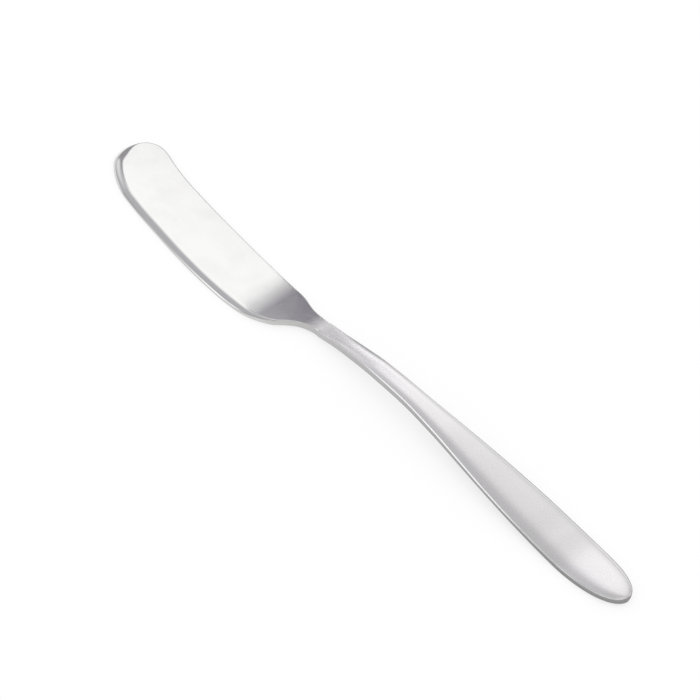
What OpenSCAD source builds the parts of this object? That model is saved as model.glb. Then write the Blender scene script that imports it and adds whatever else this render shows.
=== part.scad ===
// Butter knife of stainless steel: a polished spreading blade with a tang,
// brazed into the socket of a satin, arched handle.
// X runs from the blade's tip to the handle's end, +Y is the spine's side, +Z is up.
// The knife lies on its underside, and the origin is under the middle of its length and width.

/* [Blade] */
// Length of the blade from its tip to the joint with the handle
blade_len = 70; // [60:1:90]
// Width of the blade from its belly to the top of its raised tip
blade_w = 20; // [16:0.5:26]
// Thickness of the blade
blade_t = 1.1; // [0.9:0.1:1.4]
// Width of the rolled bevel along the belly and round the tip
bevel_w = 2.2; // [1:0.1:3]
// Height that the bevel takes off the blade at its edge
bevel_drop = 0.55; // [0.3:0.05:0.8]
// Radius of the broken corner along the spine
spine_r = 0.2; // [0.1:0.05:0.3]

/* [Neck] */
// Width of the neck at the joint, measured on the handle
neck_w = 3.9; // [3.4:0.1:5]
// Thickness of the neck's sides at the joint, measured on the handle
neck_t = 1.9; // [1.7:0.1:2.6]
// Height of the neck's underside at the joint above the table
neck_lift = 0.6; // [0.4:0.1:1.2]
// Angle at which the neck rises from the blade, in degrees
neck_angle = 10; // [7:0.5:12]

/* [Handle] */
// Length of the handle from the joint to its end
handle_len = 95; // [80:1:125]
// Greatest width of the handle
handle_w = 11.4; // [9:0.1:14]
// Thickness of the handle's sides where it is widest
handle_edge_t = 1.4; // [1.2:0.1:2.2]
// Height of the crown of the handle's top over its sides
crown_h = 0.5; // [0.2:0.1:1]
// Radius along the handle's edges where it is widest
edge_r = 0.6; // [0.3:0.05:0.7]
// Radius along the handle's edges at the neck
neck_edge_r = 0.3; // [0.2:0.05:0.5]
// Height of the handle's underside above the table at the top of its arch
arch_h = 3.5; // [2:0.1:6]
// Distance of the handle's axis from the middle of the blade's width, towards the spine
handle_offset = 1.4; // [0:0.1:2.5]

/* [Joint] */
// Length of the tang inside the handle
tang_len = 12; // [8:1:18]
// Width of the tang
tang_w = 1.8; // [1.4:0.1:2.2]
// Thickness of the tang
tang_t = 0.8; // [0.6:0.1:1]
// Gap all round the tang that the braze fills
braze_gap = 0.05; // [0.03:0.01:0.1]
// Height by which the handle's mouth stands proud of the blade's neck
mouth_step = 0.1; // [0.05:0.05:0.2]

/* [Hidden] */
// How far a cut runs past what it cuts
overrun = 0.5;
// Steps of the blade's outline between two of its points
outline_steps = 5;
// Strips across the top of the blade and of the handle
blade_strips = 5;
handle_strips = 13;
// Steps of the rolled bevel and of the round along the handle's edges
bevel_steps = 4;
round_steps = 3;
// Sections along the handle, up to its round end and round it
shank_sections = 40;
end_sections = 14;

// Blade outline, from the tip to the joint: share of the length, then the spine's height as a
// share of its way from the neck to the top, the belly's depth as a share of its way from the
// neck to the bottom, and the share of the bevel that the spine and the belly carry there
outline_shares = [
    [0.005, 0.375, -0.17, 0.15, 0.95],
    [0.020, 0.735, 0.07, 0, 1],
    [0.050, 0.96, 0.27, 0, 1],
    [0.075, 1.00, 0.39, 0, 1],
    [0.110, 0.95, 0.52, 0, 1],
    [0.150, 0.835, 0.63, 0, 1],
    [0.220, 0.69, 0.73, 0, 1],
    [0.350, 0.53, 0.85, 0, 1],
    [0.500, 0.41, 0.96, 0, 1],
    [0.630, 0.325, 1.00, 0, 1],
    [0.730, 0.275, 0.98, 0, 1],
    [0.800, 0.245, 0.90, 0, 0.7],
    [0.850, 0.215, 0.745, 0, 0.3],
    [0.880, 0.14, 0.593, 0, 0.12],
    [0.905, 0.06, 0.378, 0, 0.04],
    [0.930, 0.01, 0.193, 0, 0],
    [0.960, 0.00, 0.066, 0, 0],
    [1.000, 0.00, 0.00, 0, 0]
];
// Height of the tip's foremost point, as a share of the spine's way from the neck to the top,
// and the share of the bevel there
tip_share = 0.06;
tip_bevel_share = 0.6;
// Where the blade's heel starts to turn up, and where that hollow has become a straight ramp, as
// shares of the blade's length
rise_share = 0.715;
ramp_share = 0.83;
// Length of the heel's underside over which it comes off the table, as a share of the blade's length
grind_share = 0.05;

// Half width of the handle along its length, as a share of its way from the neck to the widest
width_shares = [
    [0, 0], [0.05, -0.02], [0.1, 0.02], [0.2, 0.13], [0.3, 0.2], [0.4, 0.38],
    [0.5, 0.62], [0.6, 0.83], [0.7, 0.96], [0.8, 1], [1, 1]
];
// Underside of the handle along its length, as a share of the arch's height
arch_shares = [
    [0.1, 0.63], [0.19, 0.92], [0.28, 1], [0.4, 0.92], [0.5, 0.76], [0.6, 0.55],
    [0.7, 0.32], [0.78, 0.13], [0.86, 0], [1, 0.14]
];
// Thickness of the handle's sides and radius of their edges, as a share of the way from the neck's to
// the widest part's
side_shares = [[0, 0], [0.3, 0.35], [0.62, 1], [0.85, 0.7], [1, 0.6]];
// Where the handle's round end starts, and how full its curve is
end_share = 0.8;
end_power = 3;
// Width of the small flat at the very end, as a share of the handle's width
end_flat_share = 0.05;
// How flat the crown is in its middle, and the share of the handle's length over which it grows from
// the neck's flat top
crown_power = 2.6;
crown_grow_share = 0.12;
// Most of a side's thickness that each of its two rounds may take
round_share = 0.45;

total_len = blade_len + handle_len;
neck_slope = tan(neck_angle);
neck_mid = neck_lift + neck_t / 2;
// The blade's own neck, which the handle's mouth stands proud of
spine_at_neck = handle_offset + neck_w / 2 - mouth_step;
belly_at_neck = handle_offset - neck_w / 2 + mouth_step;
neck_bottom = neck_lift + mouth_step;
neck_top = neck_lift + neck_t - mouth_step;
// Slope of the ramp from the heel to the neck, and half the length of the hollow that leads to it
hollow_len = blade_len * (ramp_share - rise_share) / 2;
ramp_slope = (neck_top - blade_t) / (hollow_len + blade_len * (1 - ramp_share));

// Point between a and b on a smooth cubic, with the rates of change ra and rb at its ends
function blend(a, b, ra, rb, u) =
    a * (1 + 2 * u) * (1 - u) ^ 2 + b * u ^ 2 * (3 - 2 * u) + ra * u * (1 - u) ^ 2 - rb * u ^ 2 * (1 - u);

// Distance in plan from point i to the next one
function reach(p, i) = norm([p[i + 1].x - p[i].x, p[i + 1].y - p[i].y]);

// Direction of a smooth curve through the points p, at point i
function heading(p, i) =
    i == 0 ? (p[1] - p[0]) / reach(p, 0)
    : i == len(p) - 1 ? (p[i] - p[i - 1]) / reach(p, i - 1)
    : let (before = reach(p, i - 1), after = reach(p, i))
        ((p[i + 1] - p[i]) * before / after + (p[i] - p[i - 1]) * after / before) / (before + after);

// Points of a smooth curve through the points p
function curve(p, steps) = [
    for (i = [0 : len(p) - 2], k = [0 : steps - 1])
        blend(p[i], p[i + 1], heading(p, i) * reach(p, i), heading(p, i + 1) * reach(p, i), k / steps),
    p[len(p) - 1]
];

// Rate of change of a table of values from row i to the next
function rate(p, i) = (p[i + 1].y - p[i].y) / (p[i + 1].x - p[i].x);

// Rate at row i that lets the curve through the table rise and fall only where the table does
function level_rate(p, i, first) =
    i == 0 ? first
    : i == len(p) - 1 ? rate(p, i - 1)
    : rate(p, i - 1) * rate(p, i) <= 0 ? 0
    : 2 * rate(p, i - 1) * rate(p, i) / (rate(p, i - 1) + rate(p, i));

// Value at x of a smooth curve through a table of values
function value(p, x, first = 0, i = 0) =
    let (w = p[i + 1].x - p[i].x)
    x > p[i + 1].x && i < len(p) - 2 ? value(p, x, first, i + 1)
    : let (rate = level_rate(p, i, first), next_rate = level_rate(p, i + 1, first))
        blend(p[i].y, p[i + 1].y, rate * w, next_rate * w, (x - p[i].x) / w);

// Height of the blade's top: flat, then a hollow that turns up into a straight ramp to the joint
function blade_top(x) =
    x < blade_len * ramp_share
        ? blade_t + ramp_slope * max(0, x - blade_len * rise_share) ^ 2 / (4 * hollow_len)
        : blade_t + ramp_slope * (x - blade_len * ramp_share + hollow_len);

// Thickness of the blade, which it keeps where it turns up, and which then grows to the neck's
function blade_thickness(x) =
    let (u = max(0, x / blade_len - rise_share) / (1 - rise_share))
    blade_t + (neck_top - neck_bottom - blade_t) * u ^ 2;

// Height of the blade's underside, before it is ground flat on the table
function blade_under(x) =
    let (past_rise = max(0, x / blade_len - rise_share))
    blade_top(x) - blade_thickness(x) - overrun * max(0, 1 - past_rise / grind_share);

// Share of a crown's height at the place v across it, from -1 to 1
function crown_share(v) = 1 - abs(v) ^ crown_power;

// Points of the blade's outline, each with its share of the bevel, from the joint round the tip
function spine_point(row) =
    [row[0] * blade_len, spine_at_neck + row[1] * (blade_w / 2 - spine_at_neck), row[3]];
function belly_point(row) =
    [row[0] * blade_len, belly_at_neck - row[2] * (blade_w / 2 + belly_at_neck), row[4]];
function blade_outline() =
    let (last = len(outline_shares) - 1)
    [
        [blade_len + overrun, spine_at_neck, 0],
        for (i = [last : -1 : 0]) spine_point(outline_shares[i]),
        [0, spine_at_neck + tip_share * (blade_w / 2 - spine_at_neck), tip_bevel_share],
        for (i = [0 : last]) belly_point(outline_shares[i]),
        [blade_len + overrun, belly_at_neck, 0]
    ];

// Direction into the blade at point i of its outline
function inward(p, i) =
    let (a = p[max(i - 1, 0)], b = p[min(i + 1, len(p) - 1)], d = [a.y - b.y, b.x - a.x])
    d / norm(d);

// Width of the bevel or broken corner at an outline point, and the height that it takes off
function corner_w(p) = spine_r + p.z * (bevel_w - spine_r);
function corner_drop(p) = spine_r + p.z * (bevel_drop - spine_r);

// Inner end of the bevel at point i of the outline, in plan
function face_point(p, i) = [p[i].x, p[i].y] + inward(p, i) * corner_w(p[i]);

// Edge of the blade at point i of its outline, from the underside over the roll of the bevel
function blade_edge(p, i) = [
    [p[i].x, p[i].y, blade_under(p[i].x)],
    for (k = [0 : bevel_steps - 1])
        let (
            a = 90 * (1 - k / bevel_steps),
            q = [p[i].x, p[i].y] + inward(p, i) * corner_w(p[i]) * (1 - sin(a))
        )
        [q.x, q.y, blade_top(q.x) - corner_drop(p[i]) * (1 - cos(a))]
];

// Section of the blade between point i of its outline and the point across from it
function blade_section(p, i) =
    let (j = len(p) - 1 - i, a = face_point(p, i), b = face_point(p, j), far = blade_edge(p, j))
    [
        each blade_edge(p, i),
        for (k = [0 : blade_strips])
            let (c = a + (b - a) * k / blade_strips)
            [c.x, c.y, blade_top(c.x)],
        for (k = [len(far) - 1 : -1 : 0]) far[k]
    ];

// Half width of the handle, height of its underside, thickness of its sides, radius of their edges
// and height of its crown, at a share s of its length
function end_round(s) = sqrt(max(0, 1 - (max(0, s - end_share) / (1 - end_share)) ^ end_power));
function handle_half(s) =
    let (full = neck_w / 2 + value(width_shares, s) * (handle_w - neck_w) / 2)
    let (flat = end_flat_share * handle_w / 2)
    flat + (full - flat) * end_round(s);
function handle_under(s) =
    value([[0, neck_lift], for (row = arch_shares) [row.x, row.y * arch_h]], s, neck_slope * handle_len);
function handle_side(s) = neck_t + value(side_shares, s) * (handle_edge_t - neck_t);
function handle_round(s) = neck_edge_r + value(side_shares, s) * (edge_r - neck_edge_r);
function handle_crown(s) =
    crown_h * handle_half(s) / (handle_w / 2) * blend(0, 1, 0, 0, min(1, s / crown_grow_share));

// Quarter round of radius r about c, from the angle a1 to a2, as points across and up
function quarter(c, r, a1, a2) = [for (k = [0 : round_steps])
    let (a = a1 + (a2 - a1) * k / round_steps) c + r * [cos(a), sin(a)]];

// Section of the handle at a share s of its length
function handle_section(s) =
    let (
        half = handle_half(s),
        under = handle_under(s),
        side = handle_side(s),
        crown = handle_crown(s),
        r = min(handle_round(s), half / 2, side * round_share),
        low = quarter([half - r, under + r], r, -90, 0),
        high = quarter([half - r, under + side - r], r, 0, 90),
        top = [for (k = [1 : handle_strips - 1])
            let (v = 1 - 2 * k / handle_strips)
            [(half - r) * v, under + side + crown * crown_share(v)]],
        right = concat(low, high),
        left = [for (k = [len(right) - 1 : -1 : 0]) [-right[k].x, right[k].y]]
    )
    [for (q = concat(right, top, left)) [blade_len + s * handle_len, handle_offset + q.x, q.y]];

// Places of the handle's sections from its end to the joint, closer together round the end
handle_places = [
    for (k = [end_sections : -1 : 1]) end_share + (1 - end_share) * sin(90 * k / end_sections),
    for (k = [shank_sections : -1 : 0]) end_share * k / shank_sections
];

// Solid through a row of sections that run towards the tip, all with the same number of points.
// Each end is closed by a fan from the second point, which lies on no straight stretch.
module loft(sections) {
    n = len(sections);
    m = len(sections[0]);
    last = (n - 1) * m;
    walls = [for (i = [0 : n - 2], j = [0 : m - 1])
        let (a = i * m + j, b = i * m + (j + 1) % m)
        each [[a, b, b + m], [a, b + m, a + m]]];
    first_fan = [for (j = [2 : m - 1]) [1, (j + 1) % m, j]];
    last_fan = [for (f = first_fan) [last + f[0], last + f[2], last + f[1]]];
    polyhedron([for (s = sections) each s], concat(walls, first_fan, last_fan), convexity = 4);
}

// Bar along the neck's slope, from a length behind the joint to a length past it
module neck_bar(behind, past, width, thickness) {
    translate([blade_len, handle_offset, neck_mid])
        rotate([0, -neck_angle, 0])
            translate([-behind, -width / 2, -thickness / 2])
                cube([behind + past, width, thickness]);
}

// Moves the knife from its tip to the origin under its middle
module centred() {
    translate([-total_len / 2, 0, 0]) children();
}

// Polished blade with its bevel, raised tip, neck and tang
module blade() {
    outline = curve(blade_outline(), outline_steps);
    across = (len(outline) - 3) / 2;
    color([0.88, 0.88, 0.89])
        centred() {
            intersection() {
                loft([for (i = [0 : across]) blade_section(outline, i)]);
                translate([-overrun, -blade_w, 0])
                    cube([blade_len + overrun, 2 * blade_w, neck_top + overrun]);
            }
            neck_bar(tang_w, tang_len, tang_w, tang_t);
        }
}

// Satin handle with its crowned top, arch and the socket for the tang
module handle() {
    color([0.76, 0.76, 0.77])
        centred()
            difference() {
                loft([for (s = handle_places) handle_section(s)]);
                neck_bar(overrun, tang_len + braze_gap, tang_w + 2 * braze_gap, tang_t + 2 * braze_gap);
            }
}

blade();
handle();
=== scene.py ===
# %% [markdown]
# # A butter knife in polished and satin steel
# The knife has two pieces: a wide polished spreading blade, and a slim arched handle of satin steel that
# the blade's tang is brazed into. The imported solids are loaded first. They are the fixed frame, and
# everything below is laid out from their boxes, in metres.

import math

import bmesh
import bpy
from mathutils import Matrix, Vector
from mathutils.geometry import interpolate_bezier


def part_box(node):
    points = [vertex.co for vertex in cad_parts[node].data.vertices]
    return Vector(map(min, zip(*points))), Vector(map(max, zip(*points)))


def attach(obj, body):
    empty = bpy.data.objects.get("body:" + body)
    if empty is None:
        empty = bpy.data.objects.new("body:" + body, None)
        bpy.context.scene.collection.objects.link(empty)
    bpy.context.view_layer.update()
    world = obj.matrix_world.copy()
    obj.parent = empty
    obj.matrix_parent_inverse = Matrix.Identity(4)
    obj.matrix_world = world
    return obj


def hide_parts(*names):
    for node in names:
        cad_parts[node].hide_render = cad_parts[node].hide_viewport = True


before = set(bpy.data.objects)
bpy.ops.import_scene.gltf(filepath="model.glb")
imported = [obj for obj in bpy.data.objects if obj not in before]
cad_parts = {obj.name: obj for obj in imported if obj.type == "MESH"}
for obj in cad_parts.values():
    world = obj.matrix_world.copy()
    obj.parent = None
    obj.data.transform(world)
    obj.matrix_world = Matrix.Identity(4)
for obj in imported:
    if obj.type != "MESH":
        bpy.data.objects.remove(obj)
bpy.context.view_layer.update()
blade_low, blade_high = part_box("blade")
handle_low, handle_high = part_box("handle")

# %% [markdown]
# The lengths and widths could be typed in again, but they are read from the boxes, so that they can't differ
# from the solids. The neck, where the two pieces meet, has driving sizes of its own, in millimetres turned to
# metres: its width, its thickness, how high it lies above the table, and its slope.

# %% Sizes
mm = 0.001
tip_x, joint_x, end_x = blade_low.x, handle_low.x, handle_high.x
blade_len, handle_len = joint_x - tip_x, end_x - joint_x
handle_w = handle_high.y - handle_low.y
handle_y = (handle_high.y + handle_low.y) / 2
neck_w, neck_t, neck_lift, neck_angle = 3.9 * mm, 1.9 * mm, 0.6 * mm, math.radians(10)
print(f"blade {blade_len / mm:.1f} mm, handle {handle_len / mm:.1f} mm long and {handle_w / mm:.1f} mm wide")

# %% [markdown]
# The camera repeats the photograph's view: from the blade's belly side, 45 degrees above the table, turned
# 41 degrees round the knife and rolled a little, so that the knife runs from its tip at the upper left to the
# handle's end at the lower right. A long lens keeps the blade and the handle at nearly the same scale. The
# camera could be moved by hand until it fits, but angles and a distance give the same view on every run.

# %% Camera
view_azimuth, view_elevation = math.radians(41.29), math.radians(45.04)
view_roll, view_distance = math.radians(9.67), 839.17 * mm
aim = Vector((-3.02, 0.21, 3.89)) * mm
focal_length, sensor_width = 200, 36
nearest, farthest = 0.01, 20
back = Vector((
    math.sin(view_azimuth) * math.cos(view_elevation),
    -math.cos(view_azimuth) * math.cos(view_elevation),
    math.sin(view_elevation),
))
lens = bpy.data.cameras.new("long_lens")
lens.lens, lens.sensor_width = focal_length, sensor_width
lens.clip_start, lens.clip_end = nearest, farthest
camera = bpy.data.objects.new("camera", lens)
turn = (-back).to_track_quat("-Z", "Y").to_matrix() @ Matrix.Rotation(view_roll, 3, "Z")
camera.matrix_world = Matrix.Translation(aim + back * view_distance) @ turn.to_4x4()
bpy.context.scene.collection.objects.link(camera)
bpy.context.scene.camera = camera
bpy.context.scene.view_settings.view_transform = "Standard"
print("camera at", [round(c, 4) for c in camera.location])

# %% [markdown]
# The light and the steels are trees of nodes. A tree could be wired in the editor, but in a script each node
# takes many lines, so one small helper makes a node and fills its sockets by name, or by number as in i0: a
# value is set on the socket, and another node's output is linked to it. Three more give the nodes that come up
# most often: a sum or product, a value carried from one range to another, and a mix.

# %% Helpers for nodes
def add(tree, kind, settings=(), **sockets):
    made = tree.nodes.new(kind)
    for name, value in dict(settings).items():
        setattr(made, name, value)
    for name, value in sockets.items():
        numbered = name[0] == "i" and name[1:].isdigit()
        socket = made.inputs[int(name[1:]) if numbered else name.replace("_", " ")]
        if isinstance(value, bpy.types.NodeSocket):
            tree.links.new(value, socket)
        else:
            socket.default_value = value
    return made


def maths(tree, operation, *values, clamp=False):
    sockets = {f"i{k}": value for k, value in enumerate(values)}
    settings = {"operation": operation, "use_clamp": clamp}
    return add(tree, "ShaderNodeMath", settings, **sockets).outputs[0]


def ranged(tree, value, start, end, low=0.0, high=1.0, kind="LINEAR"):
    return add(tree, "ShaderNodeMapRange", {"interpolation_type": kind}, Value=value,
               From_Min=start, From_Max=end, To_Min=low, To_Max=high).outputs["Result"]


def mix(tree, share, low, high, kind="RGBA"):
    first, out = {"FLOAT": (2, 0), "RGBA": (6, 2)}[kind]
    sockets = {"i0": share, f"i{first}": low, f"i{first + 1}": high}
    return add(tree, "ShaderNodeMix", {"data_type": kind}, **sockets).outputs[out]


print("helpers", add.__name__, maths.__name__, ranged.__name__, mix.__name__)

# %% [markdown]
# Steel is a mirror, so what it shows is the room. The room here is a light tent. It could be built from cards
# and lamps round the knife, but each of them would show in another view. So the tent is made in the world, by
# the direction that a ray takes: east along the knife, north across it, and the height. A fade is a soft step
# between two directions, with its strength before and after. A cloth covers the directions where all of its
# fades are full, and is hung over what is already in the tent.

# %% Helpers for the light
world = bpy.data.worlds.new("light_tent")
bpy.context.scene.world = world
world.use_nodes = True
sky = world.node_tree
sky.nodes.clear()
ray = add(sky, "ShaderNodeTexCoord").outputs["Generated"]
way = add(sky, "ShaderNodeVectorMath", {"operation": "NORMALIZE"}, i0=ray).outputs[0]
east, north, height = add(sky, "ShaderNodeSeparateXYZ", Vector=way).outputs


def toward(direction):
    settings = {"operation": "DOT_PRODUCT"}
    return add(sky, "ShaderNodeVectorMath", settings, i0=way, i1=direction).outputs["Value"]


def fade(value, start, end, low=0.0, high=1.0, kind="SMOOTHSTEP"):
    return ranged(sky, value, start, end, low, high, kind)


def plus(first, second):
    return maths(sky, "ADD", first, second)


def times(*values):
    product = values[0]
    for value in values[1:]:
        product = maths(sky, "MULTIPLY", product, value)
    return product


def cloth(*fades):
    return times(*(fade(*limits) for limits in fades))


def hang(tent, cover, tone):
    return mix(sky, cover, tent, tone)


print("directions from", way.node.bl_label)

# %% [markdown]
# A bright panel stands behind the knife and fills the blade's face. It falls off to the east, which shades
# the handle along its arch. In the west it is brightest just before it ends, which lights the first part of the
# handle and shades the neck, and it comes back faintly far in the west for the outer rim of the tip. A second
# panel in front draws the bright line along the handle's near edge.

# %% Panels
far_west = fade(east, -0.76, -0.86, 0.0, 0.46)
west_end = plus(fade(east, -0.735, -0.625, 0.03, 1.06), far_west)
west_lift = fade(east, -0.55, -0.62, 0.943, 1.55)
east_fall = fade(east, -0.15, -0.48, 0.45, 1.24, "LINEAR")
back_panel = times(east_fall, west_end, west_lift)
front_end = plus(fade(east, -0.70, -0.48, 0.20, 1.0), far_west)
front_panel = times(fade(east, -0.32, -0.46, 0.36, 1.50), front_end)
tent = hang(back_panel, fade(north, 0.08, -0.12), front_panel)
print("panels behind and in front")

# %% [markdown]
# Dark cloths give the steel its lines. Two low ones darken the edges, on the camera's side and at the back; the
# one at the back reaches a little higher in the west, and is paler there. One high over the belly draws the
# rolled bevel and the handle's near side; in the west it reaches further back, and is palest. A photographer
# would hold up strips of grey card; a product of fades has softer edges and can't get into the picture.

# %% Cloths for the edges and the bevel
camera_tone = (0.30, 0.30, 0.31, 1)
back_tone, back_west_tone = (0.20, 0.20, 0.21, 1), (0.28, 0.28, 0.29, 1)
belly_east_tone, belly_tone = (0.40, 0.40, 0.40, 1), (0.54, 0.532, 0.56, 1)
belly_west_tone = (0.90, 0.89, 0.905, 1)

camera_side = cloth((north, 0.1, -0.2), (height, 0.12, -0.02))
tent = hang(tent, camera_side, camera_tone)

back_height = plus(height, fade(east, -0.46, -0.54, 0.0, -0.04))
low_back = cloth((back_height, 0.50, 0.30), (north, 0.43, 0.62), (east, -0.88, -0.76))
back_mix = hang(back_tone, fade(east, -0.50, -0.58), back_west_tone)
tent = hang(tent, low_back, back_mix)

belly_side = plus(north, fade(east, -0.55, -0.60, 0.0, -0.08))
over_belly = cloth((belly_side, 0.45, 0.28), (north, -0.55, -0.28), (height, 0.40, 0.65))
belly_mix = hang(belly_east_tone, fade(east, -0.26, -0.46), belly_tone)
belly_west = cloth((east, -0.585, -0.66), (north, 0.10, 0.30))
belly_mix = hang(belly_mix, belly_west, belly_west_tone)
tent = hang(tent, over_belly, belly_mix)
print("three cloths for the edges and the bevel")

# %% [markdown]
# The heel is the darkest place on the blade, because it turns up to the neck and mirrors another part of the
# room. The shade could be painted on the steel, but it would then stay where it is when the view turns. So it is
# a cloth too, placed by a direction that is even over the blade's flat face and grows as the heel turns up, and
# it starts softly where the face begins to rise. A grey strip beside it carries the shade into the bevel, and
# draws the grey crescent round the tip.

# %% Cloths for the heel and the tip
strip_tone, heel_tone = (0.36, 0.352, 0.375, 1), (0.075, 0.065, 0.105, 1)
heel_way = (0.05, 0.76, -0.645)
turn_up = toward(heel_way)
beside_heel = cloth((east, -0.545, -0.57), (east, -0.82, -0.73), (north, 0.513, 0.485), (north, 0.37, 0.43))
over_heel = cloth((turn_up, -0.0745, -0.017), (turn_up, 0.035, -0.002),
                  (east, -0.45, -0.52), (east, -0.66, -0.615))
tent = hang(tent, beside_heel, strip_tone)
tent = hang(tent, over_heel, heel_tone)
print("two cloths for the heel and the tip")

# %% [markdown]
# The rest of the tent, to the east and overhead, is plain pale cloth in soft folds, a little darker towards
# the table. The photograph doesn't show it, but the other sides of the knife mirror it. One flat tone would
# make them look cut out of paper, so the folds come from a sine across the directions.

# %% Open side of the tent
fold_way = (15.0, 9.0, 6.0)
fold = maths(sky, "SINE", toward(fold_way))
pale = cloth((height, -0.05, 0.40, 0.36, 0.88), (height, 0.5, 1.0, 1.0, 0.84), (fold, -1.0, 1.0, 0.70, 1.08))
open_back = cloth((east, -0.15, 0.10), (north, -0.25, 0.0))
open_low = cloth((height, 0.50, 0.35), (east, -0.30, -0.12))
open_front = cloth((north, 0.05, -0.15), (east, -0.28, -0.10), (height, 0.72, 0.52, 0.45, 1.0))
overhead = cloth((height, 0.93, 0.985), (east, -0.32, -0.18))
for cover in (open_back, open_low, open_front, overhead):
    tent = hang(tent, cover, pale)
print("pale cloth on four sides")

# %% [markdown]
# Only the camera and the steel see the tent. If it lit the floor too, each change to a reflection would change
# the shadow, so everything else is lit by an even white at a plain strength.

# %% Who sees the tent
even_strength, tent_strength = 0.95, 1.0
white = (1, 1, 1, 1)
path = add(sky, "ShaderNodeLightPath").outputs
seen = maths(sky, "MAXIMUM", path["Is Camera Ray"], path["Is Glossy Ray"])
seen = maths(sky, "MAXIMUM", seen, path["Is Transmission Ray"])
even = add(sky, "ShaderNodeBackground", Color=white, Strength=even_strength).outputs[0]
shown = add(sky, "ShaderNodeBackground", Color=tent, Strength=tent_strength).outputs[0]
mixed = add(sky, "ShaderNodeMixShader", i0=seen, i1=even, i2=shown).outputs[0]
add(sky, "ShaderNodeOutputWorld", Surface=mixed)
print("light tent of", len(sky.nodes), "nodes")

# %% [markdown]
# The knife lies on a plain pale sheet of paper. A whole table could be modelled, but only its top would be seen,
# so one large flat face stands for it.

# %% Floor
floor_half = 3
floor_mesh = bpy.data.meshes.new("floor")
sheet = bmesh.new()
bmesh.ops.create_grid(sheet, x_segments=1, y_segments=1, size=floor_half)
sheet.to_mesh(floor_mesh)
sheet.free()
floor = bpy.data.objects.new("floor", floor_mesh)
bpy.context.scene.collection.objects.link(floor)
print("floor of", len(floor_mesh.polygons), "face")

# %% [markdown]
# A white floor could be had from stronger light, but that would bleach the knife. So the paper has a plain tone
# of its own, which catches the soft shadow, and gives off a little white to the camera, which makes the open
# floor white. The steel sees that white too: most of it beside the blade, less from the heel to the neck, and
# still less towards the handle's end, which gives the knife's sides their tone.

# %% Paper of the floor
paper_low, paper_high, paper_glow = 0.295, 0.305, 0.72
fibre_scale, fibre_detail = 900.0, 3.0
heel_x, neck_x, far_x = -24 * mm, -10 * mm, 68 * mm
blade_share, neck_share, far_share = 0.75, 0.40, 0.2
paper = bpy.data.materials.new("pale_paper")
paper.use_nodes = True
tree = paper.node_tree
tree.nodes.clear()
spot = add(tree, "ShaderNodeTexCoord").outputs["Object"]
fibre = add(tree, "ShaderNodeTexNoise", Vector=spot, Scale=fibre_scale, Detail=fibre_detail).outputs[0]
paper_tone = ranged(tree, fibre, 0.0, 1.0, paper_low, paper_high)
matt = add(tree, "ShaderNodeBsdfDiffuse", Color=paper_tone).outputs[0]
along = add(tree, "ShaderNodeSeparateXYZ", Vector=spot).outputs["X"]
by_heel = ranged(tree, along, heel_x, neck_x, blade_share, neck_share)
by_end = ranged(tree, along, neck_x, far_x, 1.0, far_share)
mirrored = maths(tree, "MULTIPLY", by_heel, by_end)
path = add(tree, "ShaderNodeLightPath").outputs
seen = maths(tree, "MULTIPLY_ADD", path["Is Glossy Ray"], mirrored, path["Is Camera Ray"])
glow = add(tree, "ShaderNodeEmission", Color=white, Strength=paper_glow).outputs[0]
dark = add(tree, "ShaderNodeEmission", Color=(0, 0, 0, 1), Strength=0.0).outputs[0]
lift = add(tree, "ShaderNodeMixShader", i0=seen, i1=dark, i2=glow).outputs[0]
both = add(tree, "ShaderNodeAddShader", i0=matt, i1=lift).outputs[0]
add(tree, "ShaderNodeOutputMaterial", Surface=both)
floor_mesh.materials.append(paper)
print("material", paper.name)

# %% [markdown]
# A real blade is blanked from sheet along a smooth outline. It could be drawn by hand as a curve, but then it
# would drift from the solid. Here it runs through the same rows of shares that the solid is built from: how far
# along the blade, how high the spine, how low the belly, and how much of the rolled bevel each of them carries
# there. The rows run from the joint along the spine, round the tip and back along the belly. At the joint the
# blade stays a small step inside the handle's mouth, and it starts and ends a little past it, to be sawn off.

# %% Rows of the blade's outline
outline_shares = [
    (0.005, 0.375, -0.17, 0.15, 0.95), (0.020, 0.735, 0.07, 0, 1), (0.050, 0.96, 0.27, 0, 1),
    (0.075, 1.00, 0.39, 0, 1), (0.110, 0.95, 0.52, 0, 1), (0.150, 0.835, 0.63, 0, 1),
    (0.220, 0.69, 0.73, 0, 1), (0.350, 0.53, 0.85, 0, 1), (0.500, 0.41, 0.96, 0, 1),
    (0.630, 0.325, 1.00, 0, 1), (0.730, 0.275, 0.98, 0, 1), (0.800, 0.245, 0.90, 0, 0.7),
    (0.850, 0.215, 0.745, 0, 0.3), (0.880, 0.14, 0.593, 0, 0.12), (0.905, 0.06, 0.378, 0, 0.04),
    (0.930, 0.01, 0.193, 0, 0), (0.960, 0.00, 0.066, 0, 0), (1.000, 0.00, 0.00, 0, 0),
]
tip_share, tip_bevel_share = 0.06, 0.6
mouth_step, overrun = 0.1 * mm, 0.5 * mm
spine_neck_y = handle_y + neck_w / 2 - mouth_step
belly_neck_y = handle_y - neck_w / 2 + mouth_step


def spine_y(share):
    return spine_neck_y + share * (blade_high.y - spine_neck_y)


def belly_y(share):
    return belly_neck_y - share * (belly_neck_y - blade_low.y)


# The third number of each point is its share of the bevel
spine_rows = [Vector((tip_x + r[0] * blade_len, spine_y(r[1]), r[3])) for r in outline_shares]
belly_rows = [Vector((tip_x + r[0] * blade_len, belly_y(r[2]), r[4])) for r in outline_shares]
past_joint = joint_x + overrun
rows = [Vector((past_joint, spine_neck_y, 0))] + spine_rows[::-1]
rows += [Vector((tip_x, spine_y(tip_share), tip_bevel_share))] + belly_rows
rows += [Vector((past_joint, belly_neck_y, 0))]
print("outline through", len(rows), "rows")

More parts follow.
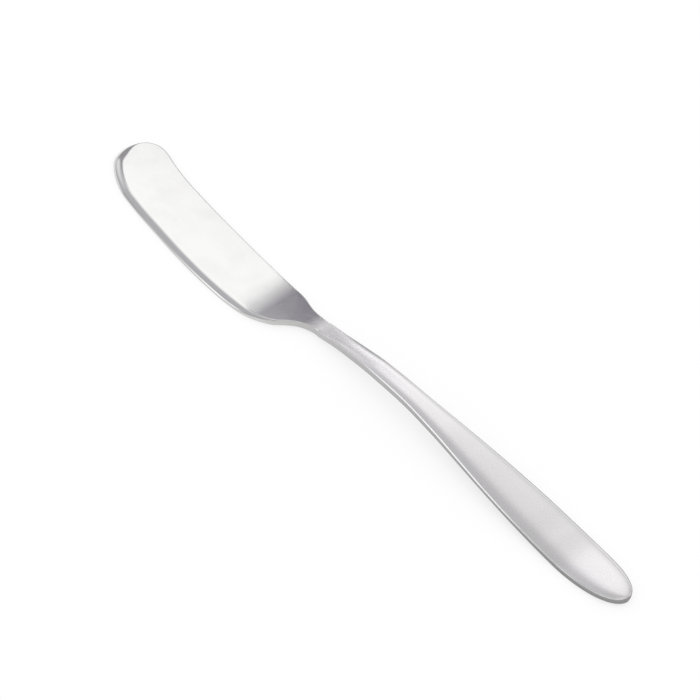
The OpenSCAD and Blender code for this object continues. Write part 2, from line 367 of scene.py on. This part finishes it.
# %% [markdown]
# Each stretch between two rows is a cubic that leaves a row in the direction in which the last one reached it.
# Straight stretches with a smoothing pass would shrink the tip, so Blender's own Bezier routine draws them.

# %% Outline of the blade
outline_steps = 12


def reach(i):
    return (rows[i + 1].xy - rows[i].xy).length


def heading(i):
    if i == 0:
        return (rows[1] - rows[0]) / reach(0)
    if i == len(rows) - 1:
        return (rows[i] - rows[i - 1]) / reach(i - 1)
    before, after = reach(i - 1), reach(i)
    ahead, behind = rows[i + 1] - rows[i], rows[i] - rows[i - 1]
    return (ahead * before / after + behind * after / before) / (before + after)


outline = []
for i in range(len(rows) - 1):
    third = reach(i) / 3
    leaving, arriving = rows[i] + heading(i) * third, rows[i + 1] - heading(i + 1) * third
    outline += interpolate_bezier(rows[i], leaving, arriving, rows[i + 1], outline_steps + 1)[:-1]
outline.append(rows[-1].copy())
stations = len(outline)
print("outline of", stations, "points")

# %% [markdown]
# Seen from the side, the blade lies flat, turns up at its heel and runs as a straight ramp to the joint. It
# keeps its thickness at first as it turns up, thickens to the neck, and its foot is ground flat on the table.
# It could be bent by a modifier, but two functions give the very heights that the solid has. The bevel that is
# rolled along its edge is a quarter of an ellipse, full along the belly and shrunk to a broken corner along the
# spine, so its width and its depth follow the outline's share of the bevel.

# %% Heights of the blade
blade_t, bevel_w, bevel_drop, spine_r = 1.1 * mm, 2.2 * mm, 0.55 * mm, 0.2 * mm
rise_share, ramp_share, grind_share = 0.715, 0.83, 0.05
neck_bottom, neck_top = neck_lift + mouth_step, neck_lift + neck_t - mouth_step


def blade_top(x):
    rise_x, ramp_x = tip_x + rise_share * blade_len, tip_x + ramp_share * blade_len
    hollow = (ramp_x - rise_x) / 2
    slope = (neck_top - blade_t) / (hollow + joint_x - ramp_x)
    if x < ramp_x:
        return blade_t + slope * max(0, x - rise_x) ** 2 / (4 * hollow)
    return blade_t + slope * (x - ramp_x + hollow)


def blade_under(x):
    u = max(0, ((x - tip_x) / blade_len - rise_share) / (1 - rise_share))
    thickness = blade_t + (neck_top - neck_bottom - blade_t) * u * u
    ground = overrun * max(0, 1 - u * (1 - rise_share) / grind_share)
    return max(0, blade_top(x) - thickness - ground)


def inward(i):
    along = outline[min(i + 1, stations - 1)] - outline[max(i - 1, 0)]
    return Vector((-along.y, along.x)).normalized()


def bevel_size(i):
    share = outline[i].z
    return spine_r + share * (bevel_w - spine_r), spine_r + share * (bevel_drop - spine_r)


print(f"top rises from {blade_t / mm:.2f} to {neck_top / mm:.2f} mm")

# %% [markdown]
# The edge of the blade has a small round at its foot, a side, and the roll of the bevel. The bevel operator
# rolls an edge at one width, and this roll changes all the way round, so the edge is grown ring by ring from a
# chain of edges instead. These functions say where a ring's vertex goes. Each vertex carries the number of its
# place along the outline, and how far it lies on an edge that gets rubbed. A last ring just inside the roll
# keeps the flat face's reflection straight.

# %% Places of the blade's rings
roll_steps, foot_steps = 12, 3
foot_r, face_margin = 0.12 * mm, 0.12 * mm
foot_wear, roll_wear_fall = 0.5, 2.5
quarter_turn = math.pi / 2
blade_bm = bmesh.new()
place = blade_bm.verts.layers.int.new("place")
worn = blade_bm.verts.layers.float.new("edge_worn")


def lay(vert, inset, z, wear):
    i = vert[place]
    spot = outline[i].xy + inward(i) * inset
    vert.co = (spot.x, spot.y, z)
    vert[worn] = wear


def foot_ring(vert, step):
    angle = quarter_turn * step / foot_steps
    z = blade_under(outline[vert[place]].x) + foot_r * (1 - math.cos(angle))
    lay(vert, foot_r * (1 - math.sin(angle)), z, foot_wear)


def roll_ring(vert, step):
    angle = quarter_turn * (1 - step / roll_steps)
    i = vert[place]
    width, drop = bevel_size(i)
    inset = width * (1 - math.sin(angle))
    x = outline[i].x + inward(i).x * inset
    z = blade_top(x) - drop * (1 - math.cos(angle))
    lay(vert, inset, z, max(0, 1 - roll_wear_fall * step / roll_steps))


def inner_ring(vert, step):
    i = vert[place]
    inset = bevel_size(i)[0] + face_margin
    lay(vert, inset, blade_top(outline[i].x + inward(i).x * inset), 0)


rings = [(foot_ring, k) for k in range(1, foot_steps + 1)]
rings += [(roll_ring, k) for k in range(roll_steps + 1)]
rings += [(inner_ring, 0)]
print(len(rings), "rings above the foot")

# %% [markdown]
# The blade starts as one open chain of edges along the foot of its outline. The chain is extruded ring by ring:
# up over the small round of the foot, up the side, and in over the roll of the bevel. An extrusion hands the
# number of a vertex on to the new one, so each ring can be laid exactly.

# %% Rings of the blade's edge
def grow(bm, edges):
    """Extrude a chain of edges where it is, and give the new vertices and the new chain."""
    grown = bmesh.ops.extrude_edge_only(bm, edges=edges)["geom"]
    verts = {g for g in grown if isinstance(g, bmesh.types.BMVert)}
    return verts, [g for g in grown if isinstance(g, bmesh.types.BMEdge) and set(g.verts) <= verts]


chain = [blade_bm.verts.new((p.x, p.y, 0)) for p in outline]
for i, vert in enumerate(chain):
    vert[place] = i
    foot_ring(vert, 0)
foot_edges = [blade_bm.edges.new(pair) for pair in zip(chain, chain[1:])]
top_edges = foot_edges
for lay_ring, step in rings:
    fresh, top_edges = grow(blade_bm, top_edges)
    for vert in fresh:
        lay_ring(vert, step)
print("blade edge of", len(blade_bm.faces), "faces")

# %% [markdown]
# The face of the blade is flat up to the heel and then turns up. One large face could fill it, but it couldn't
# bend. So it is bridged between the two halves of the inner ring, the spine's and the belly's, and the foremost
# point of the tip closes it. The rungs of that ladder slant, so they are cut into strips, and each new vertex is
# laid on the top at its own distance along the blade. The underside is bridged in the same way from the foot.

# %% Face and underside of the blade
face_strips = 12
tip_place = stations // 2


def bridge_halves(ring_edges):
    halves = [e for e in ring_edges if tip_place not in (v[place] for v in e.verts)]
    known = set(blade_bm.edges)
    bmesh.ops.bridge_loops(blade_bm, edges=halves)
    made = [e for e in blade_bm.edges if e not in known]
    tip_edges = [e for e in ring_edges if e not in halves]
    ends = {v for e in tip_edges for v in e.verts if v[place] != tip_place}
    tip_edges += [e for e in made if set(e.verts) == ends]
    bmesh.ops.contextual_create(blade_bm, geom=tip_edges)
    return made


rungs = bridge_halves(top_edges)
strips = bmesh.ops.subdivide_edges(blade_bm, edges=rungs, cuts=face_strips - 1, use_grid_fill=True)
for vert in {g for g in strips["geom_inner"] if isinstance(g, bmesh.types.BMVert)}:
    vert.co.z = blade_top(vert.co.x)
    vert[worn] = 0
under_rungs = bridge_halves(foot_edges)
print(len(rungs), "rungs over the face,", len(under_rungs), "under it,", len(blade_bm.faces), "faces")

# %% [markdown]
# On the bench, the neck is cut square at the joint, and a flat tang goes on into the handle. The tang is one
# piece with the blade, so it isn't a bar set beside it: the neck is cut by a plane, the cut is closed with one
# face, and that face is inset to the size of the tang and drawn out along the slope of the neck. Points are
# spread from the middle before they are held inside the bar, so that they gather along its sides.

# %% Neck and tang
tang_len, tang_w, tang_t = 12 * mm, 1.8 * mm, 0.8 * mm
shoulder_inset, spread = 0.3 * mm, 2
joint_mid = Vector((joint_x, handle_y, neck_lift + neck_t / 2))
tang_way = Vector((math.cos(neck_angle), 0, math.sin(neck_angle)))


def to_bar(co, width, thickness):
    """The point of a bar's end, in the joint's plane, that a point of that plane goes to."""
    half_w, half_t = width / 2, thickness / 2 / math.cos(neck_angle)
    y = min(half_w, max(-half_w, (co.y - joint_mid.y) * spread))
    z = min(half_t, max(-half_t, (co.z - joint_mid.z) * spread))
    return joint_mid + Vector((0, y, z))


sawn = bmesh.ops.bisect_plane(
    blade_bm, geom=blade_bm.verts[:] + blade_bm.edges[:] + blade_bm.faces[:],
    plane_co=(joint_x, 0, 0), plane_no=(1, 0, 0), clear_outer=True)
sawn_edges = [g for g in sawn["geom_cut"] if isinstance(g, bmesh.types.BMEdge)]
shoulder = bmesh.ops.contextual_create(blade_bm, geom=sawn_edges)["faces"]
bmesh.ops.inset_individual(blade_bm, faces=shoulder, thickness=shoulder_inset)
for vert in shoulder[0].verts:
    vert.co = to_bar(vert.co, tang_w, tang_t)
tang = bmesh.ops.extrude_face_region(blade_bm, geom=shoulder)["geom"]
bmesh.ops.delete(blade_bm, geom=shoulder, context="FACES_ONLY")
tang_end = [g for g in tang if isinstance(g, bmesh.types.BMVert)]
bmesh.ops.translate(blade_bm, verts=tang_end, vec=tang_way * tang_len)
print("tang reaches", f"{(max(v.co.x for v in blade_bm.verts) - joint_x) / mm:.2f} mm into the handle")

# %% [markdown]
# A finished mesh is merged where points fell together, its normals are turned outwards, and its faces are
# shaded smooth, with a hard line kept only where two faces meet at a real corner. A modifier could keep those
# lines, but marked edges go out with the mesh. The piece then rides on the knife's one body, and the solid that
# it stands for is hidden.

# %% Finish a mesh
merge_gap, corner_angle = 0.0005 * mm, math.radians(38)


def finish_piece(bm, name, node):
    bmesh.ops.remove_doubles(bm, verts=bm.verts, dist=merge_gap)
    bmesh.ops.recalc_face_normals(bm, faces=bm.faces)
    for face in bm.faces:
        face.smooth = True
    for edge in bm.edges:
        edge.smooth = not edge.is_manifold or edge.calc_face_angle() < corner_angle
    open_edges = sum(1 for edge in bm.edges if not edge.is_manifold)
    volume = bm.calc_volume()
    mesh = bpy.data.meshes.new(name)
    bm.to_mesh(mesh)
    bm.free()
    piece = bpy.data.objects.new(name, mesh)
    bpy.context.scene.collection.objects.link(piece)
    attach(piece, "root")
    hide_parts(node)
    triangles = sum(len(face.vertices) - 2 for face in mesh.polygons)
    print(f"{name}: {triangles} triangles, {open_edges} open edges, {volume / mm ** 3:.1f} mm3")
    return piece


blade = finish_piece(blade_bm, "polished_blade", "blade")

# %% [markdown]
# The handle is a forged bar whose width, arch, sides and crown all run their own way along its length. A table
# of shares says how each of them runs. A spline through such a table would swing past its highest and lowest
# values, and bulge, so this curve rises and falls only where the table does.

# %% Curve through a table
def blend(a, b, rate_a, rate_b, u):
    return (a * (1 + 2 * u) * (1 - u) ** 2 + b * u * u * (3 - 2 * u)
            + rate_a * u * (1 - u) ** 2 - rate_b * u * u * (1 - u))


def table_value(table, at, first_rate=0):
    rates = [(b[1] - a[1]) / (b[0] - a[0]) for a, b in zip(table, table[1:])]
    level = [first_rate]
    for a, b in zip(rates, rates[1:]):
        level.append(0 if a * b <= 0 else 2 * a * b / (a + b))
    level.append(rates[-1])
    i = 0
    while i < len(table) - 2 and at > table[i + 1][0]:
        i += 1
    (start, low), (end, high) = table[i], table[i + 1]
    span = end - start
    return blend(low, high, level[i] * span, level[i + 1] * span, (at - start) / span)


print("a level start from 0 to 1 is at", table_value([(0, 0), (1, 1)], 0.5), "half way")

# %% [markdown]
# The handle is narrow and thick at the neck, wide and thin towards its rounded end. Its underside leaves the
# neck at the neck's slope, arches up and comes down to the table. Its edges are rounded more as it widens. A
# straight bar could be bent and scaled by hand, but with one function for each of these, a section can be had
# at any place along the handle.

# %% Shape of the handle
handle_edge_t, arch_h, edge_r, neck_edge_r = 1.4 * mm, 3.5 * mm, 0.6 * mm, 0.3 * mm
width_shares = [(0, 0), (0.05, -0.02), (0.1, 0.02), (0.2, 0.13), (0.3, 0.2), (0.4, 0.38),
                (0.5, 0.62), (0.6, 0.83), (0.7, 0.96), (0.8, 1), (1, 1)]
arch_shares = [(0.1, 0.63), (0.19, 0.92), (0.28, 1), (0.4, 0.92), (0.5, 0.76), (0.6, 0.55),
               (0.7, 0.32), (0.78, 0.13), (0.86, 0), (1, 0.14)]
side_shares = [(0, 0), (0.3, 0.35), (0.62, 1), (0.85, 0.7), (1, 0.6)]
end_share, end_power, end_flat_share = 0.8, 3, 0.05
neck_slope = math.tan(neck_angle)


def handle_half(s):
    full = neck_w / 2 + table_value(width_shares, s) * (handle_w - neck_w) / 2
    flat = end_flat_share * handle_w / 2
    into_end = max(0, s - end_share) / (1 - end_share)
    return flat + (full - flat) * math.sqrt(max(0, 1 - into_end ** end_power))


def handle_under(s):
    rising = [(0, neck_lift)] + [(share, arch * arch_h) for share, arch in arch_shares]
    return table_value(rising, s, neck_slope * handle_len)


def handle_side(s):
    return neck_t + table_value(side_shares, s) * (handle_edge_t - neck_t)


def handle_round(s):
    return neck_edge_r + table_value(side_shares, s) * (edge_r - neck_edge_r)


widest = max(2 * handle_half(k / 100) for k in range(101))
print(f"handle {2 * handle_half(0) / mm:.1f} mm wide at the neck, {widest / mm:.1f} mm at its widest")

# %% [markdown]
# Cut across, the handle is flat below and crowned on top, with four rounded edges. The crown grows from the
# neck's flat top over the first part of the handle. A bevelled curve keeps one section all the way, and this
# one changes, so a function gives each point round it. A round keeps both of its ends, and a flat leaves its
# ends to the rounds beside it.

# %% Section of the handle
crown_h, crown_power, crown_grow_share, round_share = 0.5 * mm, 2.6, 0.12, 0.45
round_steps, top_strips, under_strips = 8, 28, 10
section_wear = {"low": 0.5, "high": 1.0, "top": 0.0, "high_far": 1.0, "low_far": 0.5, "under": 0.0}
flat_strips = {"top": top_strips, "under": under_strips}
section_parts = []
for part in section_wear:
    if part in flat_strips:
        section_parts += [(part, k / flat_strips[part]) for k in range(1, flat_strips[part])]
    else:
        section_parts += [(part, k / round_steps) for k in range(round_steps + 1)]


def section_point(s, k):
    part, share = section_parts[k]
    half, under, side = handle_half(s), handle_under(s), handle_side(s)
    crown = crown_h * half / (handle_w / 2) * blend(0, 1, 0, 0, min(1, s / crown_grow_share))
    r = min(handle_round(s), half / 2, side * round_share)
    across, up = r * math.sin(quarter_turn * share), r * math.cos(quarter_turn * share)
    if part == "low":
        y, z = half - r + across, r - up
    elif part == "high":
        y, z = half - r + up, side - r + across
    elif part == "top":
        v = 1 - 2 * share
        y, z = (half - r) * v, side + crown * (1 - abs(v) ** crown_power)
    elif part == "high_far":
        y, z = -(half - r) - across, side - r + up
    elif part == "low_far":
        y, z = -(half - r) - up, r - across
    else:
        y, z = (half - r) * (2 * share - 1), 0
    return Vector((joint_x + s * handle_len, handle_y + y, under + z))


print("section of", len(section_parts), "points")

# %% [markdown]
# One ring is made as a circle, and its points are laid on the section at the mouth. The ring is then extruded
# from station to station along the handle, closer together round its end, and laid on the section there. The
# number of a point round the ring rides along, as it did on the blade.

# %% Rings of the handle
shank_stations, end_stations = 150, 40
handle_bm = bmesh.new()
turn_of = handle_bm.verts.layers.int.new("place")
handle_worn = handle_bm.verts.layers.float.new("edge_worn")


def lay_section(verts, s):
    for vert in verts:
        vert.co = section_point(s, vert[turn_of])
        vert[handle_worn] = section_wear[section_parts[vert[turn_of]][0]]


ring = bmesh.ops.create_circle(handle_bm, segments=len(section_parts), radius=handle_w / 2)["verts"]
for k, vert in enumerate(ring):
    vert[turn_of] = k
lay_section(ring, 0)
mouth_edges = handle_bm.edges[:]
handle_stations = [end_share * k / shank_stations for k in range(1, shank_stations + 1)]
for k in range(1, end_stations + 1):
    handle_stations.append(end_share + (1 - end_share) * math.sin(quarter_turn * k / end_stations))
end_edges = mouth_edges
for s in handle_stations:
    fresh, end_edges = grow(handle_bm, end_edges)
    lay_section(fresh, s)
bmesh.ops.contextual_create(handle_bm, geom=end_edges)
print("handle of", len(handle_stations), "stations,", len(handle_bm.faces), "faces")

# %% [markdown]
# The socket takes the tang, and is a little wider and deeper, which leaves room for the braze. A boolean could
# cut it, and would leave odd faces round the mouth. So the mouth's own ring is drawn in to the socket's edge,
# and then along the neck's slope to its depth.

# %% Socket of the handle
braze_gap = 0.05 * mm


def draw(edges, move):
    fresh, drawn = grow(handle_bm, edges)
    for vert in fresh:
        vert.co = move(vert.co)
    return drawn


rim = draw(mouth_edges, lambda co: to_bar(co, tang_w + 2 * braze_gap, tang_t + 2 * braze_gap))
socket_floor = draw(rim, lambda co: co + tang_way * (tang_len + braze_gap))
bmesh.ops.contextual_create(handle_bm, geom=socket_floor)
handle = finish_piece(handle_bm, "satin_handle", "handle")

# %% [markdown]
# Both steels carry the same small marks: the lines that a brushing belt leaves, the soft haze that hands and
# cloths leave, hairline scratches from the drawer, and edges that rubbing has made brighter. Each mark is a
# node group that both materials use with their own values. A group takes the object's coordinates in metres,
# so a line that is 0.06 mm wide here is 0.06 mm wide on the knife.

# %% Helpers for groups
def new_group(name, sizes, output):
    group = bpy.data.node_groups.new(name, "ShaderNodeTree")
    group.interface.new_socket("Coordinates", in_out="INPUT", socket_type="NodeSocketVector")
    for size in sizes:
        group.interface.new_socket(size, in_out="INPUT", socket_type="NodeSocketFloat")
    group.interface.new_socket(output, in_out="OUTPUT", socket_type="NodeSocketFloat")
    given = group.nodes.new("NodeGroupInput").outputs
    return group, given, group.nodes.new("NodeGroupOutput").inputs[output]


def noise(group, coordinates, along, across, **sockets):
    """Noise whose cells are counted in lengths along the knife and in widths across it."""
    size = add(group, "ShaderNodeCombineXYZ", X=along, Y=across, Z=across).outputs[0]
    cell = add(group, "ShaderNodeVectorMath", {"operation": "DIVIDE"}, i0=coordinates, i1=size).outputs[0]
    return add(group, "ShaderNodeTexNoise", Vector=cell, Scale=1.0, **sockets).outputs[0]


print("helpers", new_group.__name__, noise.__name__)

# %% [markdown]
# A brushing belt leaves fine lines along the knife. A wave texture would draw them too evenly, so they are a
# noise that is stretched along the knife, with lines of different lengths and depths.

# %% Brushed lines
brushed, given, out = new_group("brushed_lines", ["Line Length", "Line Width"], "Lines")
lines = noise(brushed, given["Coordinates"], given["Line Length"], given["Line Width"],
              Detail=3.0, Roughness=0.65)
brushed.links.new(lines, out)
print("group", brushed.name)

# %% [markdown]
# Hands and cloths leave a soft haze on polished steel, in spots of some millimetres that dull the gloss. Painted
# spots would need an image, so the spots are the higher part of a cloudy noise.

# %% Haze from handling
haze_from, haze_full = 0.38, 0.72
haze, given, out = new_group("handling_haze", ["Spot Size"], "Haze")
spots = noise(haze, given["Coordinates"], given["Spot Size"], given["Spot Size"],
              Detail=4.0, Roughness=0.55, Distortion=0.4)
haze.links.new(ranged(haze, spots, haze_from, haze_full, kind="SMOOTHSTEP"), out)
print("group", haze.name)

# %% [markdown]
# A drawer leaves sparse hairlines that cross at odd angles. Modelled grooves would be far too fine for a mesh.
# So three stretched noises are turned to three angles, and only the highest crests of each are kept.

# %% Hairline scratches
hair_angles, hair_from, hair_full = (0.35, -0.6, 1.2), 0.70, 0.76
hairlines, given, out = new_group("hairline_scratches", ["Line Length", "Line Width"], "Scratches")
layers = []
for angle in hair_angles:
    turned = add(hairlines, "ShaderNodeVectorRotate", {"rotation_type": "Z_AXIS"},
                 Vector=given["Coordinates"], Angle=angle).outputs[0]
    crests = noise(hairlines, turned, given["Line Length"], given["Line Width"], Detail=1.0)
    layers.append(ranged(hairlines, crests, hair_from, hair_full))
scratches = layers[0]
for layer in layers[1:]:
    scratches = maths(hairlines, "MAXIMUM", scratches, layer)
hairlines.links.new(scratches, out)
print("group", hairlines.name)

# %% [markdown]
# Edges are rubbed more than faces, which makes them brighter and smoother. A shader could look for sharp places
# itself, but what it finds depends on the mesh. Here each vertex already knows how far it lies on an edge, and a
# noise breaks that up into patches.

# %% Rubbed edges
patch_from, patch_full, least_rubbed = 0.3, 0.7, 0.35
rubbed, given, out = new_group("rubbed_edges", ["Patch Size"], "Rubbed")
edge = add(rubbed, "ShaderNodeAttribute", {"attribute_name": "edge_worn"}).outputs["Fac"]
patches = noise(rubbed, given["Coordinates"], given["Patch Size"], given["Patch Size"], Detail=3.0)
amount = ranged(rubbed, patches, patch_from, patch_full, least_rubbed, 1.0)
rubbed.links.new(maths(rubbed, "MULTIPLY", edge, amount, clamp=True), out)
print("group", rubbed.name)

# %% [markdown]
# The two steels are one alloy in two finishes. What differs is how much of the surface is satin: all of the
# handle, and on the blade only the last few millimetres of the neck, where the belt that brushed the handle ran
# on past the joint and faded out. Polish keeps its lines too fine to see and shows haze and hairlines in its
# gloss; satin scatters the light with its lines. Of each pair below, the second goes with more haze or a
# higher line.

# %% Finishes
belt_run, belt_fade, belt_ragged = 3.6 * mm, 7 * mm, 0.8 * mm
polish_tones = (0.785, 0.782, 0.774, 1), (0.770, 0.767, 0.760, 1)
satin_tones = (0.890, 0.874, 0.881, 1), (0.958, 0.941, 0.949, 1)
rubbed_tone = (0.93, 0.93, 0.93, 1)
polish_rough, hair_rough = (0.075, 0.095), 0.16
satin_rough, rubbed_rough = (0.23, 0.31), 0.22
spot_size, patch_size = 9 * mm, 3 * mm
hair_length, hair_width, hair_depth = 7 * mm, 0.05 * mm, -0.3
relief_depth = 0.0012 * mm
print(f"satin starts {belt_run / mm:.1f} mm before the joint")

# %% [markdown]
# Two materials could be wired side by side, but a change to the alloy would then have to be made twice. So one
# function makes both, and each has its own lines: finer on the polished blade, coarser on the satin handle.
# The edge between the finishes follows the belt's lines.

# %% Steel
def steel(name, line_length, line_width):
    material = bpy.data.materials.new(name)
    material.use_nodes = True
    tree = material.node_tree
    shader = tree.nodes["Principled BSDF"].inputs
    shader["Metallic"].default_value = 1.0
    spot = add(tree, "ShaderNodeTexCoord").outputs["Object"]

    def mark(group, **sizes):
        return add(tree, "ShaderNodeGroup", {"node_tree": group}, Coordinates=spot, **sizes).outputs[0]

    line = mark(brushed, Line_Length=line_length, Line_Width=line_width)
    cloud = mark(haze, Spot_Size=spot_size)
    hair = mark(hairlines, Line_Length=hair_length, Line_Width=hair_width)
    rub = mark(rubbed, Patch_Size=patch_size)

    along = add(tree, "ShaderNodeSeparateXYZ", Vector=spot).outputs["X"]
    ragged = maths(tree, "MULTIPLY_ADD", line, belt_ragged, along)
    satin_from = joint_x - belt_run
    satin = ranged(tree, ragged, satin_from, satin_from + belt_fade)

    polish_colour = mix(tree, cloud, *polish_tones)
    satin_colour = mix(tree, rub, mix(tree, line, *satin_tones), rubbed_tone)
    tree.links.new(mix(tree, satin, polish_colour, satin_colour), shader["Base Color"])
    gloss = mix(tree, hair, ranged(tree, cloud, 0.0, 1.0, *polish_rough), hair_rough, "FLOAT")
    scatter = mix(tree, rub, ranged(tree, line, 0.0, 1.0, *satin_rough), rubbed_rough, "FLOAT")
    tree.links.new(mix(tree, satin, gloss, scatter, "FLOAT"), shader["Roughness"])
    relief = mix(tree, satin, ranged(tree, hair, 0.0, 1.0, 0.0, hair_depth), line, "FLOAT")
    bump = add(tree, "ShaderNodeBump", Height=relief, Strength=1.0, Distance=relief_depth)
    tree.links.new(bump.outputs[0], shader["Normal"])
    return material


polished_steel = steel("polished_steel", line_length=5 * mm, line_width=0.06 * mm)
satin_steel = steel("satin_steel", line_length=8 * mm, line_width=0.09 * mm)
blade.data.materials.append(polished_steel)
handle.data.materials.append(satin_steel)
print("materials", polished_steel.name, satin_steel.name)
